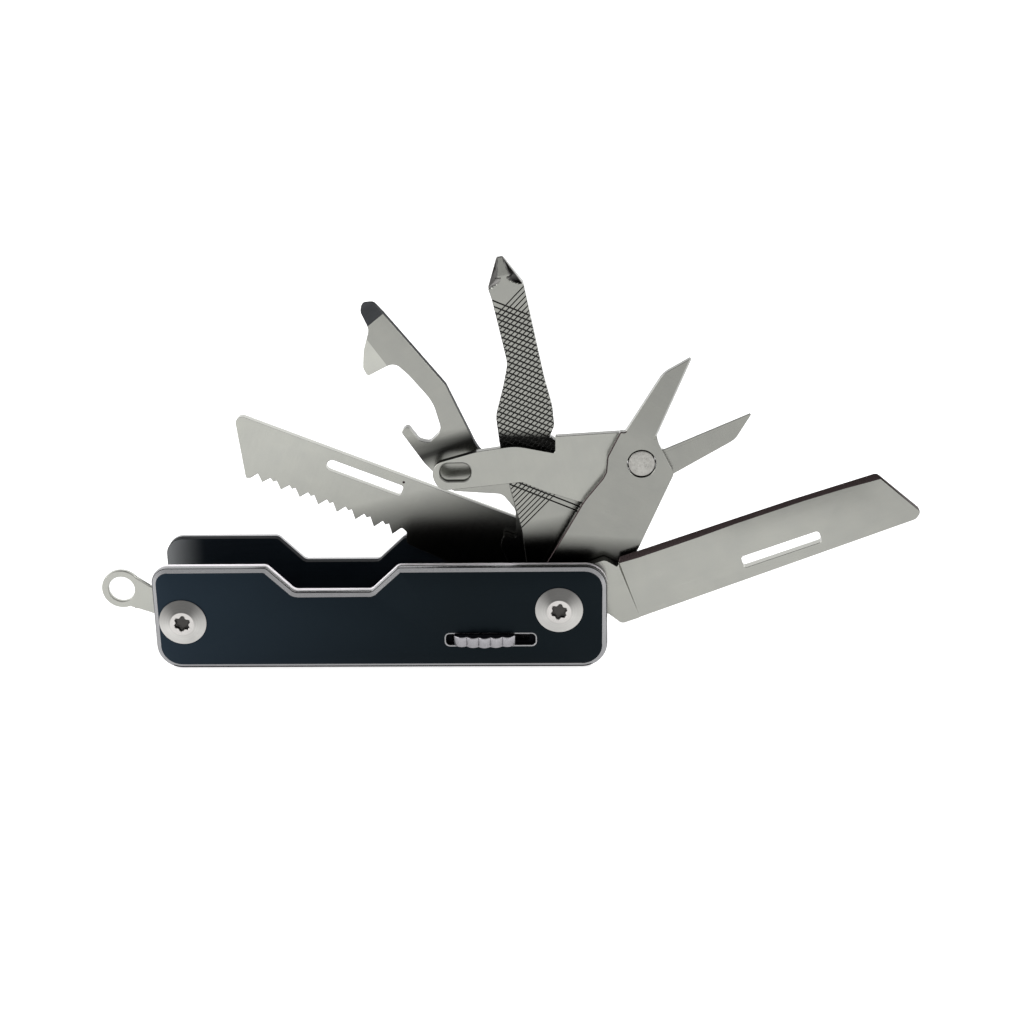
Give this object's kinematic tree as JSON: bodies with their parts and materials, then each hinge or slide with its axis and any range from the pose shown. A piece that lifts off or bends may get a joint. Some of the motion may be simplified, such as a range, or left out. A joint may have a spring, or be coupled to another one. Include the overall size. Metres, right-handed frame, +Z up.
{
  "type": "pocket multi tool",
  "caption": "Folding pocket multi tool with bevelled cover plates, knife, scissors, cross-head file, can and bottle opener, saw, lanyard tab and a sliding blade lock.",
  "frame": {"origin": "middle of the spring edge that the handle stands on, half way along and half way through the handle", "axes": "+X along the handle from the lanyard end to the pivot end, +Y from the lock side through the handle to its back, +Z up through the edge that the tools open from"},
  "size_m": [0.1616, 0.0219, 0.0811],
  "materials": {
    "black_plate": "brushed black anodised, with a bright cut bevel",
    "liner_steel": "polished",
    "blade_steel": "satin, finely brushed",
    "screw_steel": "turned, bright satin",
    "spring_steel": "ground",
    "bronze": "dull"
  },
  "bodies": {
    "handle": {"front_scale": "black_plate", "rear_scale": "black_plate", "front_liner": "liner_steel", "rear_liner": "black_plate", "pivot_axle": "spring_steel", "tail_axle": "spring_steel", "mid_spring_pin": "spring_steel", "tail_spring_pin": "spring_steel", "front_pivot_screw": "screw_steel", "rear_pivot_screw": "screw_steel", "front_tail_screw": "screw_steel", "rear_tail_screw": "screw_steel", "knife_back_spring": "spring_steel", "scissor_back_spring": "spring_steel", "spring_spacer": "spring_steel", "file_back_spring": "spring_steel", "opener_back_spring": "spring_steel", "saw_back_spring": "spring_steel", "knife_front_washer": "bronze", "knife_rear_washer": "bronze", "scissor_rear_washer": "bronze", "file_rear_washer": "bronze", "opener_rear_washer": "bronze", "saw_rear_washer": "bronze", "lever_layer_spacer": "spring_steel", "tail_front_spacer": "spring_steel", "tail_rear_spacer": "spring_steel"},
    "knife": {"knife_blade": "blade_steel"},
    "scissors": {"scissor_plate": "blade_steel", "scissor_rivet": "blade_steel", "scissor_spring": "spring_steel"},
    "scissor_lever_half": {"scissor_lever": "blade_steel"},
    "file": {"file_driver": "blade_steel"},
    "opener": {"can_opener": "blade_steel"},
    "saw": {"saw_blade": "blade_steel"},
    "lanyard": {"lanyard_tab": "blade_steel"},
    "lock": {"thumb_slider": "screw_steel", "slider_stem": "spring_steel", "lock_bar": "spring_steel"}
  },
  "joints": [
    {"name": "knife_pivot", "type": "hinge", "parent": "handle", "child": "knife", "pos_m": [0.0355, -0.0051, 0.0126], "axis": [0, 1, 0], "range_deg": [-160, 18]},
    {"name": "scissor_pivot", "type": "hinge", "parent": "handle", "child": "scissors", "pos_m": [0.0355, -0.003, 0.0126], "axis": [0, 1, 0], "range_deg": [-120.5, 57]},
    {"name": "scissor_rivet_pivot", "type": "hinge", "parent": "scissors", "child": "scissor_lever_half", "pos_m": [0.0517, -0.0014, 0.04089], "axis": [0, 1, 0], "range_deg": [-43, 0], "stiffness_Nm_per_rad": 0.03, "springref_deg": 17.19},
    {"name": "file_pivot", "type": "hinge", "parent": "handle", "child": "file", "pos_m": [0.0355, 0.0008, 0.0126], "axis": [0, 1, 0], "range_deg": [-80, 98]},
    {"name": "opener_pivot", "type": "hinge", "parent": "handle", "child": "opener", "pos_m": [0.0355, 0.0033, 0.0126], "axis": [0, 1, 0], "range_deg": [-51, 127]},
    {"name": "saw_pivot", "type": "hinge", "parent": "handle", "child": "saw", "pos_m": [0.0355, 0.0054, 0.0126], "axis": [0, 1, 0], "range_deg": [-22, 156]},
    {"name": "lanyard_pivot", "type": "hinge", "parent": "handle", "child": "lanyard", "pos_m": [-0.0392, -0.0046, 0.0103], "axis": [0, 1, 0], "range_deg": [-40, 35]},
    {"name": "lock_slide", "type": "slide", "parent": "handle", "child": "lock", "axis": [1, 0, 0], "range_m": [-0.0012, 0.0036]}
  ]
}
